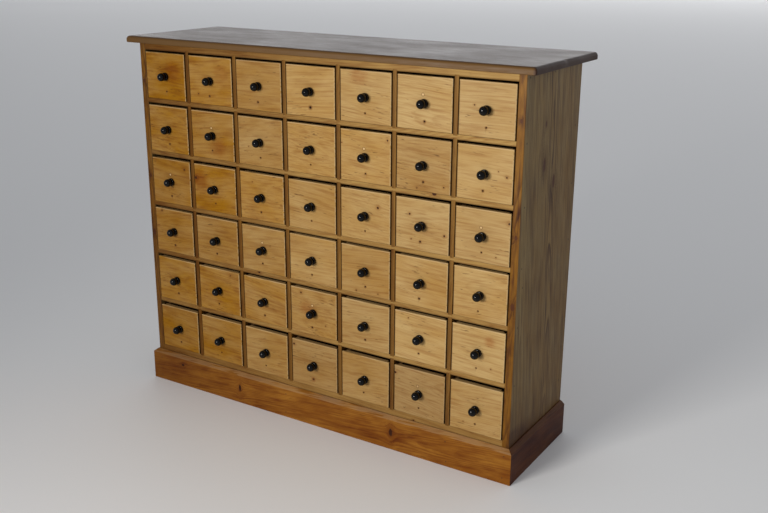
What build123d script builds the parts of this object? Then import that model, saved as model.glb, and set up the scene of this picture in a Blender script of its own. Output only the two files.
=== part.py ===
from build123d import *
import os
from math import cos, radians, sin, tau

os.makedirs("parts", exist_ok=True)

# A floor-standing pine cabinet with a grid of small drawers for seed packets. Millimetres, +Z up, the
# front faces -Y, and the origin is the middle of the whole object's box, on the floor.

# ---- The grid of openings --------------------------------------------------------------------
COLUMN_WIDTHS = (163.5, 171.0, 170.0, 173.0, 170.0, 172.0, 166.5)  # clear, left to right
ROW_HEIGHTS = (148.0, 151.0, 152.5, 149.0, 152.0, 156.5)  # clear, top to bottom

# ---- The case --------------------------------------------------------------------------------
CASE_DEPTH = 362.0  # front edge to back edge of a side board
CASE_BOARD = 21.0  # sides, case top and case bottom
SHELF_BOARD = 14.0
PARTITION_BOARD = 12.0
SIDE_HOUSING = 7.0  # how far the level boards enter the sides
HOUSING_STOP = 12.0  # wood left uncut in front of those housings
PARTITION_HOUSING = 3.5  # how far a partition enters the board above and below it
BOTTOM_REVEAL = 19.0  # height of the case bottom's front edge that shows above the plinth

# ---- The back: upright boards with half-lapped edges, in a rebate of the sides ---------------------
BACK_BOARD = 12.0
BACK_REBATE = 10.0
BACK_COUNT = 9
BACK_LAP = 8.0
BACK_SHRINKAGE = 0.5  # gap that has opened between two boards

# ---- The top board ---------------------------------------------------------------------------
TOP_BOARD = 20.0
TOP_FRONT_OVERHANG = 24.0
TOP_SIDE_OVERHANG = 33.0
TOP_REAR_OVERHANG = 28.0
TOP_ROUND = 10.0  # radius of the upper edge, front and sides

# ---- The plinth ------------------------------------------------------------------------------
PLINTH_HEIGHT = 104.5
PLINTH_BOARD = 15.0
PLINTH_BEVEL_DEPTH = 12.0
PLINTH_BEVEL_HEIGHT = 9.5
BLOCK_LEG = 28.0  # legs of the three-cornered glue blocks under the case bottom
BLOCK_LENGTH = 90.0
FRONT_BLOCKS = 5
SIDE_BLOCKS = 2

# ---- The drawers -----------------------------------------------------------------------------
TOP_GAPS = (6.0, 7.0, 8.5, 6.5, 8.5, 12.0)  # above a front, one for each row
SIDE_GAP = 3.0  # beside a drawer, left and right
RUNNING_GAP = 0.3  # under a drawer
REAR_GAP = 0.5  # behind a shut drawer, whose back stops at the back boards
FRONT_PROUD = 3.0  # how far a shut front stands out of the case
FRONT_BOARD = 16.0
FRONT_LAP = 6.0  # front's full-width part, which covers the ends of the sides
FRONT_ARRIS = 1.5
DRAWER_SIDE = 10.0
DRAWER_BACK = 10.0
DRAWER_BOTTOM = 5.0
SIDE_DROP = 5.0  # how much lower than the front the drawer's other walls are

# ---- The knobs: turned, with a tenon glued into the front -------------------------------------------
KNOB_BASE_RADIUS = 12.5
KNOB_BASE_THICKNESS = 8.0
KNOB_BASE_EASE = 1.8  # how much smaller the base is at its two flat sides
KNOB_NECK_RADIUS = 6.5
KNOB_NECK_RUN = 1.6  # base to the narrowest place of the neck, and from there to the ball
KNOB_RADIUS = 12.5
BALL_RINGS = (-35.0, 5.0, 43.0, 72.0)  # degrees of latitude of the ball's rings, neck to tip
TENON_RADIUS = 4.0
TENON_LENGTH = 10.0
KNOB_SIDES = 10  # flats round the knob
TENON_SIDES = 6  # flats round its tenon

# ---- Worked out from the sizes above ---------------------------------------------------------------
COLUMNS = range(len(COLUMN_WIDTHS))
ROWS = range(len(ROW_HEIGHTS))
NECK_AT = KNOB_BASE_THICKNESS + KNOB_NECK_RUN  # these three are measured from the front's face
BALL_AT = NECK_AT + KNOB_NECK_RUN - KNOB_RADIUS * sin(radians(BALL_RINGS[0]))
KNOB_LENGTH = BALL_AT + KNOB_RADIUS * sin(radians(BALL_RINGS[-1]))
CASE_WIDTH = sum(COLUMN_WIDTHS) + (len(COLUMN_WIDTHS) - 1) * PARTITION_BOARD + 2 * CASE_BOARD
CASE_LEFT = -CASE_WIDTH / 2
FRONT_REACH = max(FRONT_PROUD + KNOB_LENGTH, TOP_FRONT_OVERHANG)
CASE_FRONT = (FRONT_REACH - CASE_DEPTH - TOP_REAR_OVERHANG) / 2
CASE_BACK = CASE_FRONT + CASE_DEPTH
INNER_BACK = CASE_BACK - BACK_BOARD  # the face of the back boards that the drawers stop at
BOTTOM_TOP = PLINTH_HEIGHT + BOTTOM_REVEAL
CASE_TOP_UNDERSIDE = BOTTOM_TOP + sum(ROW_HEIGHTS) + (len(ROW_HEIGHTS) - 1) * SHELF_BOARD
CASE_HEIGHT = CASE_TOP_UNDERSIDE + CASE_BOARD


def block(low, high):
    """Straight board between its lowest and its highest corner."""
    size = [upper - lower for lower, upper in zip(low, high)]
    return Pos(*low) * Box(*size, align=(Align.MIN, Align.MIN, Align.MIN))


def column_left(column):
    """Left edge of a column's opening."""
    return CASE_LEFT + CASE_BOARD + sum(COLUMN_WIDTHS[:column]) + column * PARTITION_BOARD


def row_floor(row):
    """Top face of the board that a row of drawers runs on."""
    below = ROW_HEIGHTS[row + 1:]
    return BOTTOM_TOP + sum(below) + len(below) * SHELF_BOARD


def partition_lefts():
    """Left faces of the partitions between the columns."""
    return [column_left(column) - PARTITION_BOARD for column in COLUMNS[1:]]


def level_board(underside, thickness, housed_above, housed_below):
    """Full-width board: notched at the front of its housings, and grooved for the partitions."""
    top = underside + thickness
    left = CASE_LEFT + CASE_BOARD - SIDE_HOUSING
    board = block((left, CASE_FRONT, underside), (-left, INNER_BACK, top))
    notches = [
        block((x, CASE_FRONT, underside), (x + SIDE_HOUSING, CASE_FRONT + HOUSING_STOP, top))
        for x in (left, -left - SIDE_HOUSING)
    ]
    groove_floors = []
    if housed_above:
        groove_floors.append(top - PARTITION_HOUSING)
    if housed_below:
        groove_floors.append(underside)
    grooves = [
        block((x, CASE_FRONT, z), (x + PARTITION_BOARD, INNER_BACK, z + PARTITION_HOUSING))
        for x in partition_lefts()
        for z in groove_floors
    ]
    return board - notches - grooves


def level_boards():
    """Underside and thickness of every board that the sides are housed for, from the bottom up."""
    shelves = [(row_floor(row) - SHELF_BOARD, SHELF_BOARD) for row in reversed(ROWS[:-1])]
    case_bottom = (BOTTOM_TOP - CASE_BOARD, CASE_BOARD)
    case_top = (CASE_TOP_UNDERSIDE, CASE_BOARD)
    return [case_bottom, *shelves, case_top]


def left_side():
    """Left side board, from the floor up: stopped housings inside, and the rebate for the back."""
    inner = CASE_LEFT + CASE_BOARD
    board = block((CASE_LEFT, CASE_FRONT, 0), (inner, CASE_BACK, CASE_HEIGHT))
    housings = [
        block((inner - SIDE_HOUSING, CASE_FRONT + HOUSING_STOP, z), (inner, INNER_BACK, z + thickness))
        for z, thickness in level_boards()
    ]
    rebate = block(
        (inner - BACK_REBATE, INNER_BACK, BOTTOM_TOP - CASE_BOARD), (inner, CASE_BACK, CASE_HEIGHT)
    )
    return board - housings - rebate


def partitions():
    """Upright boards between neighbouring openings, each held in the boards above and below it."""
    return [
        block(
            (x, CASE_FRONT, row_floor(row) - PARTITION_HOUSING),
            (x + PARTITION_BOARD, INNER_BACK, row_floor(row) + ROW_HEIGHTS[row] + PARTITION_HOUSING),
        )
        for row in ROWS
        for x in partition_lefts()
    ]


def back_boards():
    """Upright boards whose edges lap by half their thickness, nailed to every level board."""
    low = CASE_LEFT + CASE_BOARD - BACK_REBATE
    pitch = -2 * low / BACK_COUNT
    middle = INNER_BACK + BACK_BOARD / 2
    underside = BOTTOM_TOP - CASE_BOARD
    boards = []
    for number in range(BACK_COUNT):
        left = low + number * pitch
        right = left + pitch
        gap = 0 if number == BACK_COUNT - 1 else BACK_SHRINKAGE
        lap_left = 0 if number == 0 else BACK_LAP
        lap_right = 0 if number == BACK_COUNT - 1 else BACK_LAP
        inner_half = block((left, INNER_BACK, underside), (right - gap, middle, CASE_HEIGHT))
        outer_half = block(
            (left - lap_left, middle, underside), (right - lap_right - gap, CASE_BACK, CASE_HEIGHT)
        )
        boards.append(inner_half + outer_half)
    return boards


def top_board():
    """Overhanging top, with its upper edge rounded at the front and both sides."""
    half_width = CASE_WIDTH / 2 + TOP_SIDE_OVERHANG
    front = CASE_FRONT - TOP_FRONT_OVERHANG
    back = CASE_BACK + TOP_REAR_OVERHANG
    top = CASE_HEIGHT + TOP_BOARD
    board = block((-half_width, front, CASE_HEIGHT), (half_width, back, top))
    upper_edges = board.faces().sort_by(Axis.Z)[-1].edges()
    back_edge = upper_edges.sort_by(Axis.Y)[-1]
    return fillet([edge for edge in upper_edges if edge != back_edge], TOP_ROUND)


def plinth_profile():
    """Upright section of a plinth board: its back at the origin, its face to the left, bevelled."""
    return Polyline(
        (0, 0),
        (-PLINTH_BOARD, 0),
        (-PLINTH_BOARD, PLINTH_HEIGHT - PLINTH_BEVEL_HEIGHT),
        (-PLINTH_BOARD + PLINTH_BEVEL_DEPTH, PLINTH_HEIGHT),
        (0, PLINTH_HEIGHT),
        close=True,
    )


def mitre(side):
    """Wedge outside the mitre plane at a front corner: side is -1 at the left and 1 at the right."""
    corner = side * CASE_WIDTH / 2
    reach = 2 * PLINTH_BOARD
    outline = Polyline(
        (corner, CASE_FRONT),
        (corner + side * reach, CASE_FRONT - reach),
        (corner + side * reach, CASE_FRONT),
        close=True,
    )
    return extrude(make_face(outline), PLINTH_HEIGHT)


def plinth_front():
    """Board along the front, mitred at both ends."""
    left = CASE_LEFT - PLINTH_BOARD
    section = Plane(origin=(left, CASE_FRONT, 0), x_dir=(0, 1, 0), z_dir=(1, 0, 0))
    board = extrude(section * make_face(plinth_profile()), -2 * left)
    return board - [mitre(-1), mitre(1)]


def plinth_left():
    """Return along the left side, mitred to the front board."""
    section = Plane(origin=(CASE_LEFT, CASE_BACK, 0), x_dir=(1, 0, 0), z_dir=(0, -1, 0))
    board = extrude(section * make_face(plinth_profile()), CASE_DEPTH)
    corner = extrude(section.offset(CASE_DEPTH) * make_face(plinth_profile()), PLINTH_BOARD)
    return board + (corner & mitre(-1))


def glue_block(corner, along, inward):
    """Three-cornered block under the case bottom, in the angle with an upright board."""
    plane = Plane(origin=corner, x_dir=inward, z_dir=along)
    down = plane.y_dir.Z
    outline = Polyline((0, 0), (BLOCK_LEG, 0), (0, -BLOCK_LEG * down), close=True)
    return extrude(plane * make_face(outline), BLOCK_LENGTH / 2, both=True)


def spaced(low, high, count):
    """Middles of equal stretches between two places."""
    return [low + (high - low) * (number + 0.5) / count for number in range(count)]


def glue_blocks():
    """Blocks behind the plinth front and inside both side boards."""
    underside = BOTTOM_TOP - CASE_BOARD
    inner = CASE_WIDTH / 2 - CASE_BOARD
    blocks = [
        glue_block((x, CASE_FRONT, underside), (1, 0, 0), (0, 1, 0))
        for x in spaced(-inner, inner, FRONT_BLOCKS)
    ]
    for side in (-1, 1):
        for y in spaced(CASE_FRONT + BLOCK_LEG, INNER_BACK, SIDE_BLOCKS):
            blocks.append(glue_block((side * inner, y, underside), (0, 1, 0), (-side, 0, 0)))
    return blocks


def faceted_turning(x, y, z, sides, profile):
    """Turned piece with flat facets, pointing along -Y.

    profile lists (distance in front of y, radius). Each entry is a ring, a regular polygon, and flat
    facets join each ring to the next. The first and last rings are closed by flat ends.
    """
    turns = [tau * (step + 0.5) / sides for step in range(sides)]
    rings = [
        [Vector(x + radius * cos(turn), y - distance, z + radius * sin(turn)) for turn in turns]
        for distance, radius in profile
    ]
    faces = [Face(Wire.make_polygon(ring)) for ring in (rings[0], rings[-1])]
    for near, far in zip(rings, rings[1:]):
        for step in range(sides):
            after = (step + 1) % sides
            faces.append(Face(Wire.make_polygon([near[step], near[after], far[after], far[step]])))
    return Solid(Shell(faces))


def knob_profile():
    """Thick base with eased edges, short neck, then the rings of the ball up to its tip."""
    flat_side = KNOB_BASE_RADIUS - KNOB_BASE_EASE
    base = [
        (0, flat_side),
        (KNOB_BASE_THICKNESS / 2, KNOB_BASE_RADIUS),
        (KNOB_BASE_THICKNESS, flat_side),
    ]
    ball = [
        (BALL_AT + KNOB_RADIUS * sin(radians(latitude)), KNOB_RADIUS * cos(radians(latitude)))
        for latitude in BALL_RINGS
    ]
    return [*base, (NECK_AT, KNOB_NECK_RADIUS), *ball]


def drawer(row, column):
    """Front, two sides, back, bottom and knob of one drawer, shut."""
    left = column_left(column) + SIDE_GAP
    right = column_left(column) + COLUMN_WIDTHS[column] - SIDE_GAP
    face = CASE_FRONT - FRONT_PROUD
    lap = face + FRONT_LAP
    back = INNER_BACK - REAR_GAP
    underside = row_floor(row) + RUNNING_GAP
    floor = underside + DRAWER_BOTTOM
    top = row_floor(row) + ROW_HEIGHTS[row] - TOP_GAPS[row]
    wall_top = top - SIDE_DROP

    covering = block((left, face, underside), (right, lap, top))
    covering = chamfer(covering.faces().sort_by(Axis.Y)[0].edges(), FRONT_ARRIS)
    core = block((left + DRAWER_SIDE, lap, floor), (right - DRAWER_SIDE, face + FRONT_BOARD, top))
    middle = ((left + right) / 2, face, (underside + top) / 2)
    tenon_profile = [(-TENON_LENGTH, TENON_RADIUS), (0, TENON_RADIUS)]
    tenon = faceted_turning(*middle, TENON_SIDES, tenon_profile)
    front = covering + core - tenon
    knob = faceted_turning(*middle, KNOB_SIDES, knob_profile()) + tenon

    left_wall = block((left, lap, floor), (left + DRAWER_SIDE, back, wall_top))
    right_wall = block((right - DRAWER_SIDE, lap, floor), (right, back, wall_top))
    back_wall = block(
        (left + DRAWER_SIDE, back - DRAWER_BACK, floor), (right - DRAWER_SIDE, back, wall_top)
    )
    bottom = block((left, lap, underside), (right, back, floor))
    return [front, left_wall, right_wall, back_wall, bottom, knob]


def write(name, solids):
    """Write one named piece, or one group of separate solids that share a name."""
    export_step(Compound(children=list(solids)), f"parts/{name}.step")


write("top_board", [top_board()])
write("side_left", [left_side()])
write("side_right", [mirror(left_side(), about=Plane.YZ)])
write("case_top", [level_board(CASE_TOP_UNDERSIDE, CASE_BOARD, False, True)])
write("case_bottom", [level_board(BOTTOM_TOP - CASE_BOARD, CASE_BOARD, True, False)])
for row in ROWS[:-1]:
    write(f"shelf_{row + 1}", [level_board(row_floor(row) - SHELF_BOARD, SHELF_BOARD, True, True)])
write("partitions", partitions())
write("back_boards", back_boards())
write("plinth_front", [plinth_front()])
write("plinth_left", [plinth_left()])
write("plinth_right", [mirror(plinth_left(), about=Plane.YZ)])
write("glue_blocks", glue_blocks())
for row in ROWS:
    for column in COLUMNS:
        write(f"drawer_r{row + 1}_c{column + 1}", drawer(row, column))
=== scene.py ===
import math

import bmesh
import bpy
import numpy as np
from mathutils import Matrix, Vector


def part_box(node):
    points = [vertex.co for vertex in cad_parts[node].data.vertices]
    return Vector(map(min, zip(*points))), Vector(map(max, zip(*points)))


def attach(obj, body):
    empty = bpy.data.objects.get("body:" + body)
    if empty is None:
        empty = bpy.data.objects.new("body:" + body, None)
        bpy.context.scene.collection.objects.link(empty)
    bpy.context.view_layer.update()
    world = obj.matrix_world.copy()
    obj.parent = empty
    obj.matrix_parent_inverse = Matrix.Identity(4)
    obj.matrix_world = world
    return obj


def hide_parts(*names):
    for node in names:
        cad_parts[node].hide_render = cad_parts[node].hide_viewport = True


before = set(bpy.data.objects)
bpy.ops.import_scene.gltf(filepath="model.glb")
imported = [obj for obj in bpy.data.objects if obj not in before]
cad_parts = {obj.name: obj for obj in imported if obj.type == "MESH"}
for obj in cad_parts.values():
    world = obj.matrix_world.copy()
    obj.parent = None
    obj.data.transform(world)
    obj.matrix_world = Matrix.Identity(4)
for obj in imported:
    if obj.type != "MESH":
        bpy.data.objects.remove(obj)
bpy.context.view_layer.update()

# An old pine seed cabinet: forty-two small drawers with black turned knobs in a housed case, under an
# overhanging top and on a bevelled plinth. Metres; the front faces -Y, and the floor is z = 0.

MM = 0.001
dice = np.random.default_rng(1887)

# ---- The photograph's view -----------------------------------------------------------------------
CAMERA_RIGHT = 1.6463  # of the middle of the cabinet
CAMERA_BEFORE = 2.2534  # in front of the case
CAMERA_HEIGHT = 1.4386
CAMERA_TURN = 31.914  # degrees to the left of +Y
CAMERA_DIP = 17.806  # degrees below the horizon
CAMERA_LEAN = 0.404  # degrees about the line of sight
CAMERA_LENS = 46.73  # millimetres, on a sensor 36 wide
SENSOR_WIDTH = 36.0

# ---- Sizes that the frame's boxes don't give -----------------------------------------------------
ROWS, COLUMNS = 6, 7
LEVEL_BOARDS = ["case_top", "case_bottom", *[f"shelf_{number}" for number in range(1, ROWS)]]
case_low, case_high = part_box("side_left")
CASE_FRONT = case_low.y
HALF_WIDTH = -case_low.x
FRONT_PROUD = 3 * MM  # how far a shut front stands out of the case
FRONT_BOARD = 16 * MM
FRONT_LAP = 6 * MM  # full-width part of a front, which covers the ends of the walls
CORE_DROP = 0.3 * MM  # how much lower than the lap the narrower part behind it is
DRAWER_WALL = 10 * MM
DRAWER_BOTTOM = 5 * MM
WALL_DROP = 5 * MM  # how much lower than the front the other walls are
TOP_ROUND = 10 * MM
PLINTH_BEVEL = 9.5 * MM  # its height

# How far each kind of edge is eased.
FRONT_ARRIS = 2.2 * MM
CORE_ARRIS = 0.5 * MM  # of a front's narrower part, behind its lap
WALL_ARRIS = 1.0 * MM
CASE_ARRIS = 0.9 * MM
PARTITION_ARRIS = 0.8 * MM
PLINTH_ARRIS = 1.3 * MM
TOP_ARRIS = 1.2 * MM  # of the top's lower edge
TOP_REAR_ARRIS = 0.8 * MM
TOP_CORNER = 4 * MM  # radius of the top's upright corners

RING_WIDTH = 4.2 * MM  # between two year rings
KNOT_NAMES = ("knot_a", "knot_b", "knot_c")
WEAR_AND_SHEEN, DIRT_AND_SHADE = (1.0, 0.0, 0.0), (0.0, 0.0, 1.0)  # two of an edge's three numbers: wear, partly a painted highlight; dust, partly painted light; dirt, mostly painted shade
SHARP_ANGLE = math.radians(35)  # a wider turn between two faces is shown as a corner


# ---- Forms: points, faces and values at the points -----------------------------------------------
class Form:
    """Points (n, 3), four-cornered faces (m, 4) and, for each name, a value of three numbers a point."""

    def __init__(self, points, faces):
        self.points = points
        self.faces = faces
        self.values = {}

    def give(self, name, value):
        """Store a value at every point, from one triple or one for each point."""
        self.values[name] = np.broadcast_to(np.array(value, float), self.points.shape).copy()
        return self


def joined(forms):
    """Several forms as one, each keeping its own points, faces and values."""
    counts = np.cumsum([0] + [len(form.points) for form in forms])
    whole = Form(
        np.vstack([form.points for form in forms]),
        np.vstack([form.faces + first for form, first in zip(forms, counts)]),
    )
    for name in sorted({name for form in forms for name in form.values}):
        blank = [np.zeros_like(form.points) for form in forms]
        whole.values[name] = np.vstack([form.values.get(name, b) for form, b in zip(forms, blank)])
    return whole


def cells(rows, columns, first=0):
    """Four-cornered faces of a grid whose points are numbered row by row from first."""
    corner = first + np.arange(rows * columns).reshape(rows, columns)[:-1, :-1].ravel()
    return np.stack([corner, corner + 1, corner + columns + 1, corner + columns], 1)


def rim(rows, columns):
    """Numbers of a grid's outermost points, once round it."""
    number = np.arange(rows * columns).reshape(rows, columns)
    return np.concatenate([number[0, :-1], number[:-1, -1], number[-1, :0:-1], number[:0:-1, 0]])


def band(near, far):
    """Four-cornered faces between two closed loops of as many points."""
    return np.stack([near, np.roll(near, -1), np.roll(far, -1), far], 1)


def outward(form):
    """The form with its faces turned outward: a closed surface has a volume above nought then."""
    a, b, c, d = (form.points[form.faces[:, corner]] for corner in range(4))
    volume = np.einsum("ij,ij->", a, np.cross(b, c)) + np.einsum("ij,ij->", a, np.cross(c, d))
    if volume < 0:
        form.faces = form.faces[:, ::-1]
    return form


def rounded(points, low, high, radius):
    """Rectangle with round corners: what lies beyond radius of the smaller rectangle is pulled to it."""
    inner = np.clip(points, low + radius, high - radius)
    away = points - inner
    reach = np.linalg.norm(away, axis=1, keepdims=True)
    return inner + away * np.minimum(1, radius / np.maximum(reach, 1e-9))


def stacked(lines_u, lines_v, layers, axes):
    """Closed body of flat layers, one above another.

    A point of a layer is the share (u, v) of the way from its lowest corner to its highest. The first
    and last layers are whole grids of those shares, and the ones between are the rims alone. A layer
    is (height, lowest corner, highest corner, corner radius), and axes names the world axes of u, v
    and height.
    """
    share = np.stack(np.meshgrid(lines_u, lines_v), 2).reshape(-1, 2)
    edge = rim(len(lines_v), len(lines_u))
    points, loops, faces, count = [], [], [], 0
    for number, (height, low, high, radius) in enumerate(layers):
        low, high = np.array(low), np.array(high)
        capped = number in (0, len(layers) - 1)
        flat = rounded(low + (share if capped else share[edge]) * (high - low), low, high, radius)
        points.append(np.column_stack([flat, np.full(len(flat), height)]))
        loops.append(count + (edge if capped else np.arange(len(edge))))
        if capped:
            cap = cells(len(lines_v), len(lines_u), count)
            faces.append(cap if number else cap[:, ::-1])
        count += len(flat)
    faces += [band(near, far) for near, far in zip(loops, loops[1:])]
    placed = np.empty((count, 3))
    placed[:, list(axes)] = np.vstack(points)
    return outward(Form(placed, np.vstack(faces)))


def lines(length, spacing, arris, extra=()):
    """Shares of a length at which a grid has lines: evenly, closer beside both ends, and where asked."""
    even = np.linspace(0, length, max(2, round(length / spacing)) + 1)
    near = np.array([0.35, 0.7, 1.0, 2.2]) * arris
    places = np.concatenate([even, near, length - near, extra])
    places = np.unique(np.round(places, 7))
    apart = np.concatenate([[True], np.diff(places) > 0.25 * arris])
    apart[-1] = True
    return places[apart] / length


def eased(start, end, low, high, arris, corner):
    """Layers from the face at start to the one at end: each edge is a quarter circle of radius arris."""
    turns = np.linspace(0, math.pi / 2, 4)
    low, high = np.array(low), np.array(high)
    way = math.copysign(1, end - start)
    rise, inset = arris * (1 - np.cos(turns)), arris * (1 - np.sin(turns))
    lower = [(start + way * r, low + i, high - i, corner) for r, i in zip(rise, inset)]
    upper = [(end - way * r, low + i, high - i, corner) for r, i in zip(rise, inset)]
    return lower + upper[::-1]


def board(low, high, through, arris, spacing=0.06):
    """Board with eased edges between two corners; through is the axis of its thickness."""
    u, v = [axis for axis in range(3) if axis != through]
    size = np.array(high) - np.array(low)
    layers = eased(low[through], high[through], (low[u], low[v]), (high[u], high[v]), arris, arris)
    lines_u, lines_v = lines(size[u], spacing, arris), lines(size[v], spacing, arris)
    return stacked(lines_u, lines_v, layers, (u, v, through))


def swell(points, size, length, seed):
    """Slow unevenness of worked wood: four waves of about that length in directions drawn by chance."""
    chance = np.random.default_rng(seed)
    waves = 4
    ways = chance.normal(size=(waves, 3))
    ways *= 2 * math.pi / length / np.linalg.norm(ways, axis=1, keepdims=True)
    return size * np.sin(points @ ways.T + chance.uniform(0, 6.3, waves)).sum(1) / waves


def turned(profile, sides, centre):
    """Turned body along -Y: the profile's (distance, radius) carried once round an axis."""
    turn = np.linspace(0, 2 * math.pi, sides, endpoint=False)
    distance, radius = np.array(profile).T
    x = centre[0] + radius[:, None] * np.cos(turn)
    y = np.broadcast_to(centre[1] - distance[:, None], x.shape)
    z = centre[2] + radius[:, None] * np.sin(turn)
    points = np.stack([x, y, z], 2).reshape(-1, 3)
    loops = np.arange(len(points)).reshape(len(profile), sides)
    faces = [band(near, far) for near, far in zip(loops, loops[1:])]
    return outward(Form(points, np.vstack(faces)))


# ---- Wood: where each point lies in its own tree -------------------------------------------------
def grow(form, along, across, depth, dark=0.5, warm=0.5):
    """Give a form its place in a tree: metres along the grain and across it, measured from the pith.

    along, across and depth are the world axes. The pith lies a chance distance behind the board's
    face and a little aslant, so the year rings leave it in long arches.
    """
    middle = (form.points.min(0) + form.points.max(0)) / 2
    local = form.points - middle
    far = dice.uniform(0.035, 0.11)
    aside = dice.uniform(-0.05, 0.05)
    slant = dice.uniform(-0.10, 0.10, 2)
    place = np.column_stack([
        local[:, along] + dice.uniform(0, 40),
        local[:, across] + aside + slant[0] * local[:, along],
        local[:, depth] + far + slant[1] * local[:, along],
    ])
    form.values["grain"] = place
    return form.give("age", (dark, warm, dice.uniform()))


def offsets(points, centre, size, along, across, stretch=1.0):
    """Each point's offset from a spot's centre, and the spot's radius; stretch draws it out along."""
    return np.column_stack([
        (points[:, along] - centre[0]) / stretch,
        points[:, across] - centre[1],
        np.full(len(points), size),
    ])


# ---- Materials -----------------------------------------------------------------------------------
def paint(red, green, blue):
    """Linear colour, with full opacity, of a screen colour from 0 to 255."""
    share = np.array([red, green, blue]) / 255
    linear = np.where(share <= 0.04045, share / 12.92, ((share + 0.055) / 1.055) ** 2.4)
    return (*linear.tolist(), 1.0)


# Colours of what time has left on the wood, some of them also painted light and shade: the rubbed wood is
# partly a painted highlight, the dust partly painted light, and the last darkening partly painted shade.
# The first and the last of them multiply it.
FLUSHED_WOOD = paint(206, 138, 62)
PLUG_WOOD = paint(228, 192, 136)
HOLE_EDGE = paint(104, 60, 20)
HOLE_DARK = paint(44, 22, 8)
RUBBED_AND_HIGHLIGHT_WOOD = paint(232, 202, 152)
DUST_AND_PAINTED_LIGHT = paint(178, 146, 98)
TONE_AND_SHADE_DARKENING = paint(150, 118, 84)


class Value:
    """A socket of a material. Python's operators on it add Math nodes."""

    def __init__(self, shade, socket):
        self.shade = shade
        self.socket = socket

    def __add__(self, other):
        return self.shade.math("ADD", self, other)

    __radd__ = __add__

    def __sub__(self, other):
        return self.shade.math("SUBTRACT", self, other)

    def __rsub__(self, other):
        return self.shade.math("SUBTRACT", other, self)

    def __mul__(self, other):
        return self.shade.math("MULTIPLY", self, other)

    __rmul__ = __mul__

    def __truediv__(self, other):
        return self.shade.math("DIVIDE", self, other)

    def __rtruediv__(self, other):
        return self.shade.math("DIVIDE", other, self)

    def __pow__(self, other):
        return self.shade.math("POWER", self, other)

    def held(self):
        """The value kept between 0 and 1."""
        return self.shade.node("ShaderNodeClamp", {"Value": self})

    def rise(self, low, high):
        """0 below low, 1 above high, and a smooth step between."""
        inputs = {"Value": self, "From Min": low, "From Max": high}
        return self.shade.node("ShaderNodeMapRange", inputs, interpolation_type="SMOOTHSTEP")

    def parts(self):
        """The three numbers of a vector."""
        node = self.shade.node("ShaderNodeSeparateXYZ", {"Vector": self}).socket.node
        return [Value(self.shade, output) for output in node.outputs]


class Shade:
    """A material and its nodes while they are being written down."""

    def __init__(self, name):
        self.material = bpy.data.materials.new(name)
        self.material.use_nodes = True
        self.tree = self.material.node_tree
        self.tree.nodes.clear()

    def node(self, kind, inputs, output=0, **settings):
        """Add a node: its settings first, then the values or links of its sockets."""
        node = self.tree.nodes.new(kind)
        for name, setting in settings.items():
            setattr(node, name, setting)
        for key, given in inputs.items():
            if isinstance(given, Value):
                self.tree.links.new(given.socket, node.inputs[key])
            else:
                node.inputs[key].default_value = given
        return Value(self, node.outputs[output]) if node.outputs else None

    def math(self, operation, *values):
        """A Math node of two values, or of one."""
        return self.node("ShaderNodeMath", dict(enumerate(values)), operation=operation)

    def read(self, name):
        """A piece's own value at its points."""
        return self.node("ShaderNodeAttribute", {}, output=1, attribute_name=name)

    def point(self, x, y, z):
        """A vector of three numbers."""
        return self.node("ShaderNodeCombineXYZ", {"X": x, "Y": y, "Z": z})

    def noise(self, where, scale=1.0, detail=2.0, roughness=0.5):
        """Smooth noise between 0 and 1, about 0.5, of a place."""
        inputs = {"Vector": where, "Scale": scale, "Detail": detail, "Roughness": roughness}
        return self.node("ShaderNodeTexNoise", inputs)

    def mix(self, share, first, second):
        """A colour between two others."""
        inputs = {"Factor": share, 6: first, 7: second}
        return self.node("ShaderNodeMix", inputs, output=2, data_type="RGBA")

    def darken(self, share, first, second):
        """The first colour multiplied by the second, by that share."""
        inputs = {"Factor": share, 6: first, 7: second}
        return self.node("ShaderNodeMix", inputs, output=2, data_type="RGBA", blend_type="MULTIPLY")

    def finish(self, **sockets):
        """Close the material with one surface shader, whose sockets are given by name."""
        inputs = {name.replace("_", " "): value for name, value in sockets.items()}
        surface = self.node("ShaderNodeBsdfPrincipled", inputs)
        self.node("ShaderNodeOutputMaterial", {"Surface": surface})
        return self.material


def round_spot(shade, name, ragged=0.0):
    """A round spot of the piece: offset across it, mask of its inside, presence, distance in radii."""
    along, across, size = shade.read(name).parts()
    far = (along * along + across * across) ** 0.5 * (1 + ragged)
    inside = ((size - far) / (size * 0.22 + 1e-6)).held()
    present = shade.math("GREATER_THAN", size, 0.0001)
    return across, inside * present, present, far / (size + 1e-6)


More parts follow.
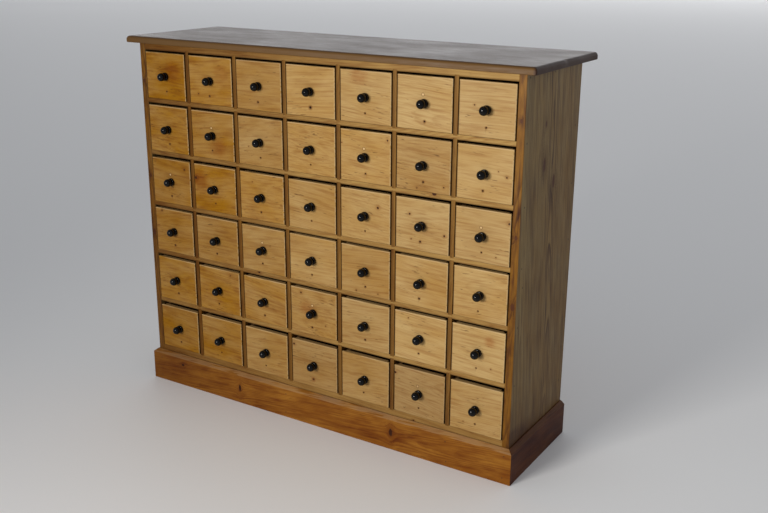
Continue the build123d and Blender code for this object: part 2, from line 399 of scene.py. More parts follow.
def pine(
    name, pale, deep, line, knot, dark_mark,
    ring=0.4, streak=0.5, fleck=0.35, blotch=0.6, rough=0.45, uneven=1.0, shine=0.1,
):
    """Pine with year rings, streaks, flecks, knots, plugs and old holes, all read from the piece.

    Its ground lies between pale and deep by the piece's own warmth, and line darkens it where there is
    late wood, a streak or a fibre. The ring pattern is the distance from the pith, swayed by slow
    noise and bent round the knots, as a rising tooth for every year. The rest is noise drawn out
    along the grain. knot is the colour of knots and flecks, and the colour after it that of dark edge
    marks, which are painted shade in the gaps and on unlit faces and in places real dirt. Rubbed edges
    are paler, partly as a painted highlight; dust is paler, partly as painted light; and the warmth and
    darkness a piece carries are partly painted shade. ring, streak, fleck and blotch say how strongly
    each of these shows, and uneven how much the gloss varies.
    """
    shade = Shade(name)
    along, across, depth = shade.read("grain").parts()
    dark, warm, chance = shade.read("age").parts()
    wear, dust_and_painted_light, dirt_and_shade = shade.read("edge").parts()
    wood = shade.point(along, across, depth)

    ragged = (shade.noise(wood, 260.0) - 0.5) * 0.7
    bent = across
    knot_inside, knot_near = 0.0, 0.0
    for spot_name in KNOT_NAMES:
        aside, inside, present, radii = round_spot(shade, spot_name, ragged)
        near = present / (1 + (radii * 0.45) ** 4)
        bent = bent - aside * near * 0.85
        knot_inside = knot_inside + inside
        knot_near = knot_near + near

    def drawn_out(along_scale, across_scale, detail=2.0, roughness=0.5):
        """Noise that runs along the grain and bends with it round the knots."""
        place = shade.point(along * along_scale, bent * across_scale, depth * across_scale)
        return shade.noise(place, 1.0, detail, roughness)

    sway = (drawn_out(2.6, 9.0) - 0.5) * 0.020
    jitter = (drawn_out(11.0, 85.0) - 0.5) * 0.0022
    radius = (bent * bent + depth * depth) ** 0.5 + sway + jitter
    year = shade.math("FRACT", radius / RING_WIDTH)
    late = year.rise(0.30, 0.88) * (1 - year.rise(0.90, 1.0))
    unequal = shade.noise(shade.point(radius * 60.0, along * 0.7, 0.0), 1.0, 1.0).rise(0.3, 0.75)
    fibre = drawn_out(7.0, 420.0)
    streaks = drawn_out(8.0, 150.0)
    mottle = drawn_out(16.0, 44.0).rise(0.45, 0.75)
    patches = drawn_out(7.0, 16.0, 3.0, 0.55)
    fleck_mask = (drawn_out(36.0, 330.0, 1.0) + drawn_out(12.0, 26.0, 1.0) * 0.45).rise(0.93, 1.01)

    colour = shade.mix((warm + (patches - 0.5) * blotch).held(), pale, deep)
    colour = shade.darken((late * unequal * ring).held(), colour, line)
    stain = streaks.rise(0.42, 0.76) * streak + mottle * warm * blotch * 0.4
    colour = shade.darken(stain.held(), colour, line)
    colour = shade.darken((fibre.rise(0.40, 0.80) * streak * 0.6).held(), colour, line)
    colour = shade.mix((fleck_mask * fleck).held(), colour, knot)

    _, _, blush_present, blush_radii = round_spot(shade, "blush", ragged)
    flush = blush_present * (1 - blush_radii.rise(0.25, 1.0)) * patches.rise(0.25, 0.65)
    colour = shade.darken((flush * 0.55).held(), colour, FLUSHED_WOOD)
    colour = shade.darken((knot_near * 0.45).held(), colour, line)
    colour = shade.mix(knot_inside.held(), colour, knot)

    _, plug, plug_present, plug_radii = round_spot(shade, "plug")
    glue_line = plug_present * plug_radii.rise(0.80, 1.0) * (1 - plug_radii.rise(1.15, 1.75))
    colour = shade.mix((glue_line * 0.5).held(), colour, knot)
    colour = shade.mix((plug * 0.8).held(), colour, PLUG_WOOD)
    _, hole, hole_present, hole_radii = round_spot(shade, "hole", ragged * 0.3)
    smudge = hole_present * (1 - hole_radii.rise(0.8, 2.6))
    colour = shade.mix((smudge * 0.7).held(), colour, HOLE_EDGE)
    colour = shade.mix(hole, colour, HOLE_DARK)

    # Pale rubbed edges: worn wood, and partly a painted highlight on the lit edges.
    rubbed_and_highlight = wear * streaks.rise(0.30, 0.55)
    colour = shade.mix((rubbed_and_highlight * 0.6).held(), colour, RUBBED_AND_HIGHLIGHT_WOOD)
    # Dust on the fronts' upper edges, paler as painted light.
    colour = shade.mix((dust_and_painted_light * 0.85).held(), colour, DUST_AND_PAINTED_LIGHT)
    # Dark edge marks: mostly painted shade in the gaps and on unlit faces, in places real dirt.
    colour = shade.mix((dirt_and_shade * 0.9).held(), colour, dark_mark)
    # The piece's own darkness: its tone, and in places painted shade.
    colour = shade.darken(dark.held(), colour, TONE_AND_SHADE_DARKENING)

    height = late * -0.5 + fibre * 0.6 + fleck_mask * -0.6 + knot_inside * -0.8
    bump = shade.node("ShaderNodeBump", {"Height": height, "Strength": 0.2, "Distance": 0.0006})
    variation = ((fibre - 0.5) * 0.18 + (patches - 0.5) * 0.14) * uneven
    gloss = rough + variation + (dust_and_painted_light + dirt_and_shade) * 0.3 + chance * 0.03
    return shade.finish(Base_Color=colour, Roughness=gloss, Normal=bump, Specular_IOR_Level=shine)


def black_gloss():
    """Black gloss paint on turned wood: rubbed a little duller and browner in patches."""
    shade = Shade("knob_black_gloss")
    place = shade.node("ShaderNodeTexCoord", {}, output=3)
    wear = shade.noise(place, 210.0, 3.0, 0.6)
    scuff = shade.noise(place, 900.0, 2.0, 0.5)
    colour = shade.mix(wear.rise(0.52, 0.80) * 0.6, paint(4, 4, 5), paint(16, 11, 8))
    bump = shade.node("ShaderNodeBump", {"Height": scuff, "Strength": 0.05, "Distance": 0.0003})
    return shade.finish(
        Base_Color=colour,
        Roughness=0.08 + wear.rise(0.4, 0.9) * 0.10,
        Normal=bump,
        Specular_IOR_Level=0.22,
    )


def old_iron():
    """Nail heads: dark iron, browned in patches."""
    shade = Shade("nail_old_iron")
    place = shade.node("ShaderNodeTexCoord", {}, output=3)
    rust = shade.noise(place, 700.0, 2.0, 0.6)
    colour = shade.mix(rust.rise(0.4, 0.7), paint(26, 21, 18), paint(62, 38, 22))
    bump = shade.node("ShaderNodeBump", {"Height": rust, "Strength": 0.3, "Distance": 0.0003})
    return shade.finish(Base_Color=colour, Roughness=0.45 + rust * 0.3, Metallic=0.5, Normal=bump)


def plain(name, colour, rough):
    """Even finish of the stage."""
    return Shade(name).finish(Base_Color=colour, Roughness=rough)


# ---- Pieces --------------------------------------------------------------------------------------
def keep(mesh, name, value):
    """Store three numbers at every point of a mesh."""
    store = mesh.attributes.new(name, "FLOAT_VECTOR", "POINT")
    store.data.foreach_set("vector", value.astype(np.float32).ravel())


def add_piece(name, mesh, material, body, stands_for):
    """Put a mesh in the scene, with its finish, riding on a body and standing for CAD nodes."""
    mesh.materials.append(material)
    made = bpy.data.objects.new(name, mesh)
    bpy.context.scene.collection.objects.link(made)
    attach(made, body)
    if stands_for:
        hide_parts(*stands_for)


def piece(name, form, material, body, stands_for=()):
    """Piece of the scene from a form, smooth but for its corners."""
    mesh = bpy.data.meshes.new(name)
    mesh.from_pydata(form.points.tolist(), [], form.faces.tolist())
    mesh.polygons.foreach_set("use_smooth", np.full(len(mesh.polygons), True))
    mesh.set_sharp_from_angle(angle=SHARP_ANGLE)
    for key, value in form.values.items():
        keep(mesh, key, value)
    mesh.update()
    add_piece(name, mesh, material, body, stands_for)


def shells(count, edges):
    """Number of the separate shell of each point: neighbours take the lower number until none changes."""
    number = np.arange(count)
    while True:
        low = np.minimum(number[edges[:, 0]], number[edges[:, 1]])
        after = number.copy()
        np.minimum.at(after, edges[:, 0], low)
        np.minimum.at(after, edges[:, 1], low)
        if (after == number).all():
            return number
        number = after


def eased_node(node, arris, cuts=None):
    """Mesh of a CAD node's own shape, with every outer edge eased by a two-step round.

    cuts gives a spacing for each axis: the faces are then divided at about that spacing, so that
    a value at the points can vary over a wide face.
    """
    shape = bmesh.new()
    shape.from_mesh(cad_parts[node].data)
    bmesh.ops.remove_doubles(shape, verts=shape.verts, dist=1e-6)
    bmesh.ops.dissolve_limit(shape, angle_limit=math.radians(1), verts=shape.verts, edges=shape.edges)
    sharp = [edge for edge in shape.edges if edge.is_manifold and edge.calc_face_angle(0) > 0.3]
    outer = [edge for edge in sharp if edge.is_convex]
    bmesh.ops.bevel(
        shape, geom=outer, offset=arris, segments=2, profile=0.6, affect="EDGES", clamp_overlap=True
    )
    low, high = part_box(node)
    for axis, spacing in enumerate(cuts or ()):
        count = round((high[axis] - low[axis]) / spacing) if spacing else 1
        normal = np.eye(3)[axis]
        for number in range(1, count):
            place = normal * (low[axis] + (high[axis] - low[axis]) * number / count)
            everything = [*shape.verts, *shape.edges, *shape.faces]
            bmesh.ops.bisect_plane(shape, geom=everything, plane_co=place, plane_no=normal)
    mesh = bpy.data.meshes.new(node)
    shape.to_mesh(mesh)
    shape.free()
    return mesh


def case_board(node, name, material, arris, axes, dark=0.2, warm=0.5, cuts=None, spots=()):
    """Boards of the case in a CAD node's shape; each separate board in it gets its own wood.

    axes names the world axes along the grain, across it and through the board. dark and warm are
    numbers or functions of the points, and spots lists (attribute, function of the points).
    """
    mesh = eased_node(node, arris, cuts)
    points = np.empty(len(mesh.vertices) * 3)
    mesh.vertices.foreach_get("co", points)
    points = points.reshape(-1, 3)
    edges = np.empty(len(mesh.edges) * 2, int)
    mesh.edges.foreach_get("vertices", edges)
    number = shells(len(points), edges.reshape(-1, 2))
    grain, age = np.zeros_like(points), np.zeros_like(points)
    for shell in np.unique(number):
        mine = number == shell
        part = grow(Form(points[mine], None), *axes, dice.normal(0, 0.05), dice.normal(0, 0.08))
        grain[mine], age[mine] = part.values["grain"], part.values["age"]
    age[:, 0] += dark(points) if callable(dark) else dark
    age[:, 1] += warm(points) if callable(warm) else warm
    keep(mesh, "grain", grain)
    keep(mesh, "age", age)
    for spot_name, value in spots:
        keep(mesh, spot_name, value(points))
    add_piece(name, mesh, material, "case", [node])


# ---- Drawers -------------------------------------------------------------------------------------
# Spots seen on the fronts, in millimetres right of the knob and above it, then the radius.
FRONT_KNOTS = {
    (1, 2): [(-47, -41, 2.2)],
    (1, 7): [(-35, 10, 2.0)],
    (2, 3): [(-43, -16, 1.4)],
    (2, 5): [(72, 54, 2.8), (-77, 33, 1.6)],
    (2, 6): [(64, -52, 2.2), (-18, -64, 1.5)],
    (2, 7): [(63, -2, 2.6), (39, 11, 1.5)],
    (3, 1): [(56, 46, 3.2)],
    (3, 2): [(-76, 28, 5.0)],
    (3, 3): [(72, -14, 1.5), (-34, 44, 1.4)],
    (3, 5): [(42, 29, 4.0)],
    (3, 6): [(-39, 28, 3.2), (69, -18, 3.2), (-33, -42, 1.8)],
    (3, 7): [(76, 45, 3.4), (42, -51, 1.5)],
    (4, 1): [(-50, 64, 2.6)],
    (4, 5): [(-30, -62, 2.0), (44, -60, 1.6)],
    (5, 2): [(47, 58, 2.0)],
    (5, 4): [(-45, 57, 3.2), (44, -32, 1.8)],
    (5, 6): [(-38, 55, 1.8)],
    (5, 7): [(41, -39, 1.6)],
    (6, 4): [(-75, 55, 3.6)],
    (6, 6): [(-78, 49, 3.8)],
    (6, 7): [(-37, -46, 1.3)],
}
FRONT_BLUSHES = {  # redder patches
    (1, 1): (30, 15, 48),
    (1, 2): (40, 20, 40),
    (2, 2): (20, -40, 48),
    (3, 2): (-58, 18, 46),
    (5, 4): (-20, 10, 40),
    (6, 4): (-4, -48, 12),
    (1, 5): (-20, 62, 40),
    (5, 7): (35, 38, 22),
}
PLUGGED_FRONTS = [(1, 6), (2, 2), (2, 5), (3, 1), (3, 7), (4, 3), (5, 4), (6, 6)]
DARKER_FRONTS = [(2, 3), (2, 6), (4, 2), (6, 4), (6, 6)]
PLUG_LEFT_OF_KNOB = 4 * MM
PLUG_ABOVE_KNOB = 23 * MM
PLUG_RADIUS = 3.4 * MM
HOLE_BELOW_KNOB = 45 * MM
HOLE_RADIUS = 2.4 * MM
WIDE_HOLE = (1, 4)  # this front's hole is nearly twice as wide as the others
HOLE_DEPTH = 2.5 * MM
HOLE_LINES = np.array([-2.6, -1.7, -1.1, -0.5, 0.0, 0.5, 1.1, 1.7, 2.6]) * MM  # grid lines across a hole
FRONT_SPACING = 0.012  # between the other lines of a front's grid
FRONT_SWELL = 0.30 * MM
FRONT_SWELL_LENGTH = 0.11

# The knob, in millimetres as its profile is written.
KNOB_BASE = 12.5  # radius
KNOB_BASE_THICKNESS = 8.0
KNOB_EDGE = 2.0  # how far the base's edge is rounded towards the ball
KNOB_WALL_EDGE = 0.6 * KNOB_EDGE  # and towards the front
KNOB_NECK = 6.0  # radius
KNOB_BALL = 12.5  # radius
KNOB_TIP = 1.2  # radius of the flat at the tip
KNOB_LATITUDES = (-46, 76)  # degrees at which the ball begins and ends
KNOB_SIDES = 32


def knob_form(centre, length):
    """Turned knob: a thick base with a well rounded edge, a short neck, and a ball with an eased tip."""
    tip, thick, neck = length / MM, KNOB_BASE_THICKNESS, KNOB_NECK
    ball_at = tip - KNOB_BALL * math.sin(math.radians(KNOB_LATITUDES[1]))
    quarter = [(math.sin(turn), math.cos(turn)) for turn in np.linspace(0, math.pi / 2, 5)]
    wall_side = [(KNOB_WALL_EDGE * (1 - c), KNOB_BASE - KNOB_WALL_EDGE * (1 - s)) for s, c in quarter]
    ball_side = [(thick - KNOB_EDGE * (1 - s), KNOB_BASE - KNOB_EDGE * (1 - c)) for s, c in quarter]
    groove = [(thick + 0.1, neck + 1.2), (thick + 0.7, neck), (thick + 1.4, neck + 0.3)]
    latitudes = np.radians(np.linspace(*KNOB_LATITUDES, 16))
    ball = [(ball_at + KNOB_BALL * math.sin(a), KNOB_BALL * math.cos(a)) for a in latitudes]
    profile = [(0, 0.0), *wall_side, *ball_side, *groove, *ball, (tip, KNOB_TIP), (tip, 0.0)]
    return turned(np.array(profile) * MM, KNOB_SIDES, centre)


def front_form(low, high, face, seed, holed):
    """Drawer front: an uneven face with worn edges, its lap, and the narrower part behind the lap.

    The face swells by slow waves, and sinks as a paraboloid where an old screw has left its hole. The
    right and top edges are paler, worn and partly a painted highlight; the left and bottom edges and
    the right side are darkened as painted shade of the gaps; and the upper edge behind the arris is
    paler, dust and partly painted light.
    """
    arris = FRONT_ARRIS
    outer_low, outer_high = np.array([low.x, low.z]), np.array([high.x, high.z])
    core_low = outer_low + (DRAWER_WALL, DRAWER_BOTTOM)
    core_high = outer_high - (DRAWER_WALL, CORE_DROP)
    lap, rear = face + FRONT_LAP, face + FRONT_BOARD
    layers = eased(face, lap, outer_low, outer_high, arris, arris)[:4] + [
        (lap, outer_low, outer_high, arris),
        (lap, core_low, core_high, CORE_ARRIS),
        (rear - CORE_ARRIS, core_low, core_high, CORE_ARRIS),
        (rear, core_low + CORE_ARRIS, core_high - CORE_ARRIS, CORE_ARRIS),
    ]
    across = lines(high.x - low.x, FRONT_SPACING, arris, holed[0] - low.x + HOLE_LINES)
    upright = lines(high.z - low.z, FRONT_SPACING, arris, holed[1] - low.z + HOLE_LINES)
    form = stacked(across, upright, layers, (0, 2, 1))

    near_face = np.clip((lap - form.points[:, 1]) / FRONT_LAP, 0, 1)
    on_face = near_face > 0.7
    form.points[:, 1] += swell(form.points, FRONT_SWELL, FRONT_SWELL_LENGTH, seed) * near_face
    x, z = form.points[:, 0], form.points[:, 2]
    away = np.hypot(x - holed[0], z - holed[1])
    form.points[:, 1] += HOLE_DEPTH * np.clip(1 - (away / HOLE_RADIUS) ** 2, 0, 1) * on_face

    # Paler right and top edges: wear, and partly a painted highlight.
    wear = np.clip(1.15 - np.minimum(high.x - x, high.z - z) / (1.3 * arris), 0, 1) * on_face
    behind = np.clip((form.points[:, 1] - face) / arris - 0.8, 0, 1)
    # Dust on the upper edge behind the arris, made paler as painted light on the dim ledge.
    dust_and_painted_light = behind * (z > high.z - arris)
    # Painted shade of the gaps: along the left and bottom edges, and on the right side of the front.
    painted_shade_left, painted_shade_below = 1.6 - (x - low.x) / arris, 1.1 - (z - low.z) / (0.7 * arris)
    painted_shade_right = 5 * behind * (x > high.x - 0.1 * arris)
    dirt_and_shade = np.maximum(np.clip(np.maximum(painted_shade_left, painted_shade_below), 0, 1), painted_shade_right)
    form.values["edge"] = np.column_stack([wear, dust_and_painted_light, np.clip(dirt_and_shade - wear, 0, 1)])
    return form


def front_spots(row, column, knob, hole_at, hole_radius):
    """Hole, knots, plug and blush of a front: (attribute, place as x and z, radius)."""
    here = row, column
    spots = [("hole", hole_at, hole_radius)]
    for name, (right, up, radius) in zip(KNOT_NAMES, FRONT_KNOTS.get(here, [])):
        spots.append((name, (knob[0] + right * MM, knob[2] + up * MM), radius * MM))
    if here in PLUGGED_FRONTS:
        spots.append(("plug", (knob[0] - PLUG_LEFT_OF_KNOB, knob[2] + PLUG_ABOVE_KNOB), PLUG_RADIUS))
    if here in FRONT_BLUSHES:
        right, up, radius = FRONT_BLUSHES[here]
        spots.append(("blush", (knob[0] + right * MM, knob[2] + up * MM), radius * MM))
    return spots


def box_form(low, high, lap):
    """The four boards behind a front, from its lap on: two sides and a back that stand on a bottom."""
    wall_top, floor = high.z - WALL_DROP, low.z + DRAWER_BOTTOM
    inner_left, inner_right = low.x + DRAWER_WALL, high.x - DRAWER_WALL
    inner_back = high.y - DRAWER_WALL
    left = board((low.x, lap, floor), (inner_left, high.y, wall_top), 0, WALL_ARRIS)
    right = board((inner_right, lap, floor), (high.x, high.y, wall_top), 0, WALL_ARRIS)
    back = board((inner_left, inner_back, floor), (inner_right, high.y, wall_top), 1, WALL_ARRIS)
    bottom = board((low.x, lap, low.z), (high.x, high.y, floor), 2, WALL_ARRIS)
    return joined([
        grow(left, 1, 2, 0),
        grow(right, 1, 2, 0),
        grow(back, 0, 2, 1),
        grow(bottom, 0, 1, 2, 0.6),
    ])


def drawer(row, column, finishes):
    """One drawer as three pieces: its front, its box of four boards, and its knob."""
    node = f"drawer_r{row}_c{column}"
    low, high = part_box(node)
    face = CASE_FRONT - FRONT_PROUD
    knob = ((low.x + high.x) / 2, face, (low.z + high.z) / 2)
    seed = row * 100 + column
    chance = np.random.default_rng(seed)
    hole_at = (
        knob[0] + chance.uniform(-5, 2) * MM,
        knob[2] - HOLE_BELOW_KNOB + chance.uniform(-2, 2) * MM,
    )

    front = front_form(low, high, face, seed, hole_at)
    # Fronts are warmer and deeper towards the left, partly their own tone and partly painted shade where
    # the light falls off; those of the lowest row are darker towards the right, as painted shade.
    warm = 0.95 - 0.125 * column + chance.uniform(-0.14, 0.14)
    dark = 0.10 + chance.uniform(-0.08, 0.16) + 0.03 * column * (row == ROWS)
    grow(front, 0, 2, 1, dark + 0.18 * ((row, column) in DARKER_FRONTS), warm)
    wide = 1.9 if (row, column) == WIDE_HOLE else 1.0
    hole_radius = HOLE_RADIUS * wide * chance.uniform(0.75, 1.15)
    for name, place, radius in front_spots(row, column, knob, hole_at, hole_radius):
        front.values[name] = offsets(front.points, place, radius, 0, 2)

    box = box_form(low, high, face + FRONT_LAP)
    turning = knob_form(knob, face - low.y)
    cell = f"r{row}_c{column}"
    piece(f"front_{cell}", front, finishes["fronts"], node, [node])
    piece(f"box_{cell}", box, finishes["boxes"], node, [node])
    piece(f"knob_{cell}", turning, finishes["knobs"], node, [node])


# ---- The top, the case and the plinth ------------------------------------------------------------
TOP_DENT_AT = CASE_FRONT + 173 * MM  # a knock in the upper edge of the right end
TOP_DENT_RADIUS = 4 * MM
TOP_DENT_DEPTH = 3 * MM  # inwards, and as much downwards
TOP_SWELL = 0.5 * MM
TOP_SWELL_LENGTH = 0.30
TOP_SWELL_SEED = 7


def top_form(low, high):
    """Overhanging top: its upper edge is a quarter round at the front and both ends.

    Its face swells by slow waves, and the knock in its end is a bell-shaped hollow.
    """
    corner_low, corner_high = np.array([low.x, low.y]), np.array([high.x, high.y])
    turns = np.linspace(0, math.pi / 2, 6)
    layers = []
    for drop, inset in zip(TOP_ROUND * (1 - np.cos(turns)), TOP_ROUND * (1 - np.sin(turns))):
        inner_high = (high.x - inset, high.y - TOP_REAR_ARRIS * (inset > 0))
        layers.append((high.z - drop, corner_low + inset, inner_high, TOP_CORNER))
    layers += [
        (low.z + TOP_ARRIS, corner_low, corner_high, TOP_CORNER),
        (low.z, corner_low + TOP_ARRIS, corner_high - TOP_ARRIS, TOP_CORNER),
    ]
    across = lines(high.x - low.x, 0.035, TOP_ROUND)
    beside_dent = np.array([-2, -1, -0.5, 0, 0.5, 1, 2]) * TOP_DENT_RADIUS
    deep = lines(high.y - low.y, 0.03, TOP_ROUND, TOP_DENT_AT - low.y + beside_dent)
    form = stacked(across, deep, layers, (0, 1, 2))
    upper = np.clip((form.points[:, 2] - low.z) / (high.z - low.z), 0, 1)
    waves = swell(form.points, TOP_SWELL, TOP_SWELL_LENGTH, TOP_SWELL_SEED)
    form.points[:, 2] += (waves - TOP_SWELL) * upper
    aside, behind = form.points[:, 0] - high.x, form.points[:, 1] - TOP_DENT_AT
    dent = np.exp(-((aside / (2 * TOP_DENT_RADIUS)) ** 2 + (behind / TOP_DENT_RADIUS) ** 2)) * upper
    form.points[:, 0] -= TOP_DENT_DEPTH * dent
    form.points[:, 2] -= TOP_DENT_DEPTH * dent
    return form


NAIL_SIDES = 10
NAIL_RINGS = ((1.0, -0.4), (1.0, 0.05), (0.7, 0.22), (0.0, 0.3))  # share of the radius, millimetres out
NAIL_RADIUS = 2.2 * MM
FINE_NAIL_RADIUS = 1.6 * MM


def nail_heads(places, axis, way, radius):
    """Round nail heads, slightly domed, that face way along an axis: rings that shrink to the middle."""
    u, v = [other for other in range(3) if other != axis]
    turn = np.linspace(0, 2 * math.pi, NAIL_SIDES, endpoint=False)
    loops = np.arange(len(NAIL_RINGS) * NAIL_SIDES).reshape(len(NAIL_RINGS), NAIL_SIDES)
    faces = np.vstack([band(near, far) for near, far in zip(loops, loops[1:])])
    turns_left = (axis == 1) != (way < 0)
    heads = []
    for place in places:
        rings = np.empty((len(NAIL_RINGS), NAIL_SIDES, 3))
        for ring, (share, lift) in zip(rings, NAIL_RINGS):
            ring[:, u] = place[u] + radius * share * np.cos(turn)
            ring[:, v] = place[v] + radius * share * np.sin(turn)
            ring[:, axis] = place[axis] + way * lift * MM
        heads.append(Form(rings.reshape(-1, 3), faces[:, ::-1] if turns_left else faces))
    return joined(heads)


# Knots of the case in millimetres, each with its radius and how far it is drawn out along the grain.
SIDE_KNOTS = [(205, 816, 9.0, 2.4), (136, 871, 8.0, 2.8), (135, 980, 5.0, 2.0)]  # from the front, up
STILE_KNOTS = [(1006, 4.2), (705, 4.5), (516, 7.0)]  # up
RAIL_KNOTS = {  # from the case's left face, up
    "shelf_2": (1048.7, 787.5, 4.5),
    "shelf_4": (442.9, 455.9, 3.0),
    "case_bottom": (997, 107, 2.0),
}
PLINTH_KNOTS = [(929, 55, 13, 0.5), (360, 52, 12, 0.45), (116, 73, 5, 1.2)]  # from the left face, up
EDGE_KNOT_STRETCH = 1.6  # of the knots in the stiles and rails
STILE_MIDDLE = HALF_WIDTH - 10 * MM
TOP_KNOT = (606, 22, 2.5, 2.0)  # right of the middle, before the rear edge

# Nails in millimetres: from the case's front and up, or from its left face and up.
SIDE_ODD_NAILS = [(176, 1110), (36, 561), (338, 179)]
PLINTH_NAILS = [(22, 80), (20, 16), (546, 79), (544, 17), (1110, 78), (1114, 15), (1293, 85), (1290, 18)]


def on_stile(points):
    """Whether a point of a side board lies on its front edge, the stile."""
    return points[:, 1] < CASE_FRONT + 0.5 * CASE_ARRIS


def side_spot(number, away):
    """Two knots of a side board in one: on its outer face, and on its front edge, the stile."""
    back, up, radius, stretch = SIDE_KNOTS[number]
    stile_up, stile_radius = STILE_KNOTS[number]

    def values(points):
        outer = offsets(points, (up * MM, CASE_FRONT + back * MM), radius * MM, 2, 1, stretch)
        stile_place = (stile_up * MM, away * STILE_MIDDLE)
        stile = offsets(points, stile_place, stile_radius * MM, 2, 0, EDGE_KNOT_STRETCH)
        return np.where(on_stile(points)[:, None], stile, outer)

    return KNOT_NAMES[number], values


def front_spot(name, x, z, radius, stretch=EDGE_KNOT_STRETCH):
    """Knot on the front of a level board: x from the case's left face, z from the floor."""
    centre = (case_low.x + x * MM, z * MM)
    return name, lambda points: offsets(points, centre, radius * MM, 0, 2, stretch)


def make_top(finishes):
    """The top, browned and dull in its round front edge, with a dark line painted near the top of the
    round for a dark reflection, and painted shade on its unlit right end.
    """
    low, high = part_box("top_board")
    top = grow(top_form(low, high), 0, 1, 2, 0.15, 0.4)
    down = (high.z - top.points[:, 2]) / TOP_ROUND
    # Painted shade on the right end, and a painted dark line near the top of the round, standing in for a
    # dark reflection.
    end = np.clip((top.points[:, 0] - high.x) / TOP_ROUND + 1, 0, 1)
    top.values["age"][:, 0] += end + 0.5 * np.exp(-((down - 0.15) / 0.12) ** 2)
    # Browned and dull round front edge, and painted shade on the right end.
    top.values["edge"] = np.outer(np.maximum(0.85 * np.clip(4 * down, 0, 1), end), DIRT_AND_SHADE)
    right, before, radius, stretch = TOP_KNOT
    knot_place = (right * MM, high.y - before * MM)
    top.values["knot_a"] = offsets(top.points, knot_place, radius * MM, 0, 1, stretch)
    piece("top", top, finishes["top"], "case", ["top_board"])


def side_dark(points):
    """Sides darken downwards, most beside the plinth's front; so do the stiles, the left one more, and on
    the stiles this is painted shade where the light falls off.
    """
    down = 1 - points[:, 2] / case_high.z
    left = points[:, 0] < 0
    dark_mark = np.exp((0.105 - points[:, 2]) / 0.05 + (CASE_FRONT - points[:, 1]) / 0.15)
    # Painted shade on the stiles: darker downwards, and the left one more.
    stile = 0.12 + 0.25 * down + 0.20 * left
    return np.where(on_stile(points), stile, 0.10 + 0.25 * down ** 2 + 1.1 * dark_mark)


def side_warm(points):
    """Stiles are as warm as can be, and the sides hardly, a little more towards the back."""
    share = (points[:, 1] - CASE_FRONT) / (case_high.y - case_low.y)
    return np.where(on_stile(points), 1.0, 0.10 + 0.25 * share)


def rail_warm(points):
    """Rails and partitions grow paler from left to right: partly their own tone, partly painted shade
    towards the left.
    """
    return 0.35 - 0.45 * points[:, 0] / HALF_WIDTH


def rail_shade(points):
    """Painted shade: rails and partitions are darkest low on the right, and darker at the left than in
    the middle.
    """
    share = points[:, 0] / HALF_WIDTH
    low_right = np.clip(0.5 + share, 0, 1) * np.clip(1 - points[:, 2] / case_high.z, 0, 1)
    return 0.15 + 0.45 * low_right + 0.25 * np.clip(-share, 0, 1)


def rail_edge_shade(points):
    """Painted shade along the lower edge of a level board, over the gap above the drawers."""
    return np.outer(0.6 * (points[:, 2] < points[:, 2].min() + 2 * MM), DIRT_AND_SHADE)


def partition_edge_shade(points):
    """Painted shade along the left edge of each partition, the dark gap beside the front to its left,
    found by the middle that lies nearest.
    """
    rights = [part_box(f"drawer_r1_c{column}")[1].x for column in range(1, COLUMNS)]
    lefts = [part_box(f"drawer_r1_c{column + 1}")[0].x for column in range(1, COLUMNS)]
    aside = points[:, :1] - (np.array(rights) + np.array(lefts)) / 2
    nearest = np.abs(aside).argmin(1)
    return np.outer(0.45 * (aside[np.arange(len(points)), nearest] < 0), DIRT_AND_SHADE)


def make_case(finishes):
    """Sides, level boards, partitions and back."""
    for side, away in (("left", -1), ("right", 1)):
        case_board(
            f"side_{side}", f"side_{side}_board", finishes["sides"], CASE_ARRIS, (2, 1, 0),
            side_dark, side_warm, (None, 0.06, 0.08), [side_spot(number, away) for number in range(3)],
        )
    for node in LEVEL_BOARDS:
        spots = [front_spot("knot_a", *RAIL_KNOTS[node])] if node in RAIL_KNOTS else []
        case_board(
            node, f"{node}_board", finishes["rails"], CASE_ARRIS, (0, 1, 2),
            rail_shade, rail_warm, (0.2, None, 5 * MM), [*spots, ("edge", rail_edge_shade)],
        )
    case_board(
        "partitions", "partition_boards", finishes["partitions"], PARTITION_ARRIS, (2, 1, 0),
        rail_shade, rail_warm, None, [("edge", partition_edge_shade)],
    )
    case_board("back_boards", "back_planks", finishes["back"], CASE_ARRIS, (2, 0, 1))


def plinth_dark(points):
    """The plinth's front darkens towards its left end, as painted shade where the light falls off."""
    return 0.15 + 0.45 * np.clip(-points[:, 0] / HALF_WIDTH - 0.3, 0, 1)


def bevel_wear_and_sheen(points):
    """Wear over the bevel of a plinth board, also paler as a painted sheen from above."""
    bevel_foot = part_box("plinth_front")[1].z - PLINTH_BEVEL - PLINTH_ARRIS
    return np.outer(0.35 * (points[:, 2] > bevel_foot), WEAR_AND_SHEEN)


def make_plinth(finishes):
    """The plinth's front and returns, and the glue blocks behind them."""
    knots = [front_spot(name, *knot) for name, knot in zip(KNOT_NAMES, PLINTH_KNOTS)]
    case_board(
        "plinth_front", "plinth_front_board", finishes["plinth"], PLINTH_ARRIS, (0, 2, 1),
        plinth_dark, 0.5, (0.2, None, None), [("edge", bevel_wear_and_sheen), *knots],
    )
    for side in ("left", "right"):
        case_board(
            f"plinth_{side}", f"plinth_{side}_board", finishes["plinth"], PLINTH_ARRIS,
            (1, 2, 0), 1.0, 0.7, None, [("edge", bevel_wear_and_sheen)],
        )
    case_board("glue_blocks", "glue_block_set", finishes["back"], CASE_ARRIS, (0, 1, 2))


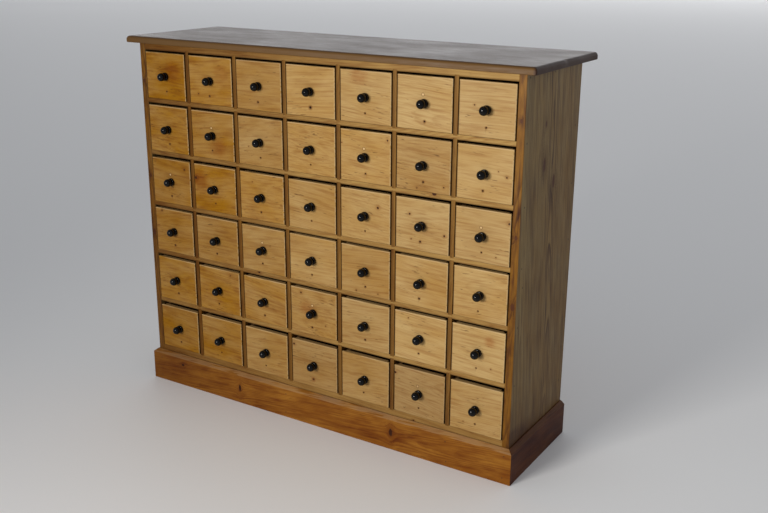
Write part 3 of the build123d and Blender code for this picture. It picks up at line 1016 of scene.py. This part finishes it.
def make_nails(finishes):
    """Nails through the sides into the level boards, and through the plinth."""
    heights = sorted((sum(end.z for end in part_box(node)) / 2 for node in LEVEL_BOARDS), reverse=True)
    for side, way in (("left", -1), ("right", 1)):
        face = way * HALF_WIDTH
        places = [(face, CASE_FRONT + back * MM, up * MM) for back, up in SIDE_ODD_NAILS]
        for z in heights:
            for y in (case_low.y + 20 * MM, case_high.y - 24 * MM):
                places.append((face, y + dice.uniform(-5, 5) * MM, z + dice.uniform(-3, 3) * MM))
        heads = nail_heads(places, 0, way, NAIL_RADIUS)
        piece(f"nails_{side}", heads, finishes["iron"], "case")
    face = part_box("plinth_front")[0].y
    places = [(case_low.x + x * MM, face, z * MM) for x, z in PLINTH_NAILS]
    heads = nail_heads(places, 1, -1, FINE_NAIL_RADIUS)
    piece("nails_plinth", heads, finishes["iron"], "case")


# ---- Stage ---------------------------------------------------------------------------------------
FLOOR = 40.0  # half of its side
WORLD_STRENGTH = 0.46


def lamp(name, place, aim, size, power, colour, spread=180.0):
    """Oblong area lamp that shines from a place towards an aim."""
    data = bpy.data.lights.new(name, "AREA")
    data.shape = "RECTANGLE"
    data.size, data.size_y = size
    data.energy = power
    data.color = colour
    data.spread = math.radians(spread)
    made = bpy.data.objects.new(name, data)
    bpy.context.scene.collection.objects.link(made)
    back = np.array(place, float) - np.array(aim, float)
    turn = math.atan2(back[1], back[0]) + math.pi / 2
    tip = math.acos(back[2] / np.linalg.norm(back))
    made.matrix_world = (
        Matrix.Translation(place) @ Matrix.Rotation(turn, 4, "Z") @ Matrix.Rotation(tip, 4, "X")
    )
    return made


def make_stage():
    """Plain pale floor, soft studio light and the photograph's camera."""
    corners = [(-FLOOR, -FLOOR, 0), (FLOOR, -FLOOR, 0), (FLOOR, FLOOR, 0), (-FLOOR, FLOOR, 0)]
    mesh = bpy.data.meshes.new("floor")
    mesh.from_pydata(corners, [], [(0, 1, 2, 3)])
    mesh.materials.append(plain("floor_pale", paint(243, 242, 240), 0.6))
    floor = bpy.data.objects.new("floor", mesh)
    bpy.context.scene.collection.objects.link(floor)

    world = bpy.data.worlds.new("studio")
    bpy.context.scene.world = world
    world.use_nodes = True
    world.node_tree.nodes["Background"].inputs["Color"].default_value = paint(225, 228, 234)
    world.node_tree.nodes["Background"].inputs["Strength"].default_value = WORLD_STRENGTH

    lamp("window", (-0.6, -4.0, 1.5), (1.4, -0.2, 1.1), (1.3, 1.0), 44, (1.0, 0.98, 0.95), 94.0)
    wall = lamp("far_wall", (-10.0, 26.0, 6.0), (-10.0, 0.0, 6.0), (56.0, 12.0), 2100, (0.97, 0.98, 1.0))
    wall.visible_camera = False

    data = bpy.data.cameras.new("camera")
    data.lens = CAMERA_LENS
    data.sensor_width = SENSOR_WIDTH
    camera = bpy.data.objects.new("camera", data)
    bpy.context.scene.collection.objects.link(camera)
    camera.matrix_world = (
        Matrix.Translation((CAMERA_RIGHT, CASE_FRONT - CAMERA_BEFORE, CAMERA_HEIGHT))
        @ Matrix.Rotation(math.radians(CAMERA_TURN), 4, "Z")
        @ Matrix.Rotation(math.radians(90 - CAMERA_DIP), 4, "X")
        @ Matrix.Rotation(math.radians(CAMERA_LEAN), 4, "Z")
    )
    bpy.context.scene.camera = camera
    bpy.context.scene.view_settings.view_transform = "Standard"


# ---- The cabinet ---------------------------------------------------------------------------------
line = paint(190, 150, 104)
knot = paint(70, 38, 16)
# The colour of the dark edge marks, which are painted shade.
painted_shade = paint(52, 27, 6)
finishes = {
    "fronts": pine(
        "pine_fronts", paint(190, 160, 106), paint(156, 107, 8), line, knot, painted_shade,
        ring=0.22, streak=0.42, fleck=0.6, blotch=1.0,
    ),
    "boxes": pine(
        "pine_drawer_boxes", paint(176, 144, 98), paint(150, 112, 66), line, knot, painted_shade, rough=0.65,
    ),
    "rails": pine(
        "pine_rails", paint(178, 144, 82), paint(118, 73, 10), line, knot, painted_shade, blotch=0.9,
    ),
    "partitions": pine(
        "pine_partitions", paint(148, 110, 50), paint(118, 74, 8), line, knot, painted_shade, blotch=0.9,
    ),
    "sides": pine(
        "pine_sides", paint(156, 133, 84), paint(138, 93, 18), paint(150, 118, 86), paint(84, 45, 16),
        painted_shade, ring=0.95, streak=0.7, blotch=0.9, shine=0.15,
    ),
    "top": pine(
        "pine_top", paint(98, 72, 28), paint(92, 58, 10), line, knot, paint(99, 66, 6),
        rough=0.31, uneven=1.5, shine=0.4,
    ),
    "plinth": pine(
        "pine_plinth", paint(170, 118, 42), paint(122, 66, 4), line, paint(58, 28, 10), painted_shade,
        ring=0.6, streak=0.6, blotch=1.8,
    ),
    "back": pine(
        "pine_back", paint(164, 134, 92), paint(136, 100, 60), line, knot, painted_shade, rough=0.75,
    ),
    "knobs": black_gloss(),
    "iron": old_iron(),
}
make_stage()
make_top(finishes)
make_case(finishes)
make_plinth(finishes)
make_nails(finishes)
for row in range(1, ROWS + 1):
    for column in range(1, COLUMNS + 1):
        drawer(row, column, finishes)
